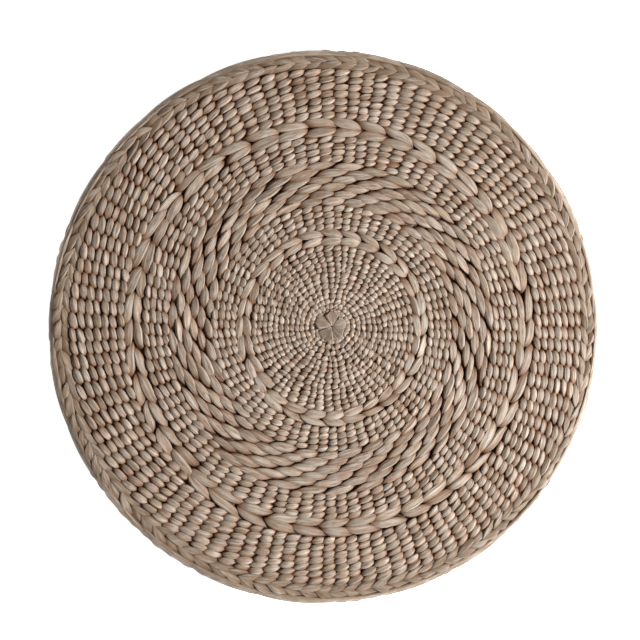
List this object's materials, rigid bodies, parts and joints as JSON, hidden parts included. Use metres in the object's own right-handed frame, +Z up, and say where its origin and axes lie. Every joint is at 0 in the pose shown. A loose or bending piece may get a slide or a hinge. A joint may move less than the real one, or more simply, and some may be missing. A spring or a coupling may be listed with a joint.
{
  "type": "chair seat pad",
  "caption": "Flat round chair seat pad, hand-twined from rush leaves round radial spokes, with plaited edges and a straw filling.",
  "frame": {"origin": "the middle of the underside, on the surface that the pad lies on", "axes": "+Z up through the centre knot; X and Y lie in the underside, and +X points away from the side the viewer stands on"},
  "size_m": [0.4, 0.4, 0.04],
  "materials": {
    "woven_rush": "dried rush leaf, twisted and twined",
    "rim_rush": "dried rush leaf, plaited",
    "knot_rush": "dried rush leaf, folded and knotted",
    "spoke_rush": "dried rush stalk, flattened",
    "straw_filling": "loose dry straw, pressed into a cake"
  },
  "bodies": {
    "root": {"top_knot": "knot_rush", "top_centre_field": "woven_rush", "top_inner_chevron_in": "woven_rush", "top_inner_chevron_out": "woven_rush", "top_inner_field": "woven_rush", "top_twill_band": "woven_rush", "top_middle_field": "woven_rush", "top_outer_chevron_in": "woven_rush", "top_outer_chevron_out": "woven_rush", "top_outer_field": "woven_rush", "top_rim_inner": "rim_rush", "top_rim_outer": "rim_rush", "side_row_1": "woven_rush", "side_row_2": "woven_rush", "side_row_3": "woven_rush", "side_row_4": "woven_rush", "under_rim_outer": "rim_rush", "under_rim_inner": "rim_rush", "under_outer_field": "woven_rush", "under_inner_field": "woven_rush", "under_knot": "knot_rush", "top_spokes": "spoke_rush", "under_spokes": "spoke_rush", "filling": "straw_filling"}
  },
  "joints": []
}
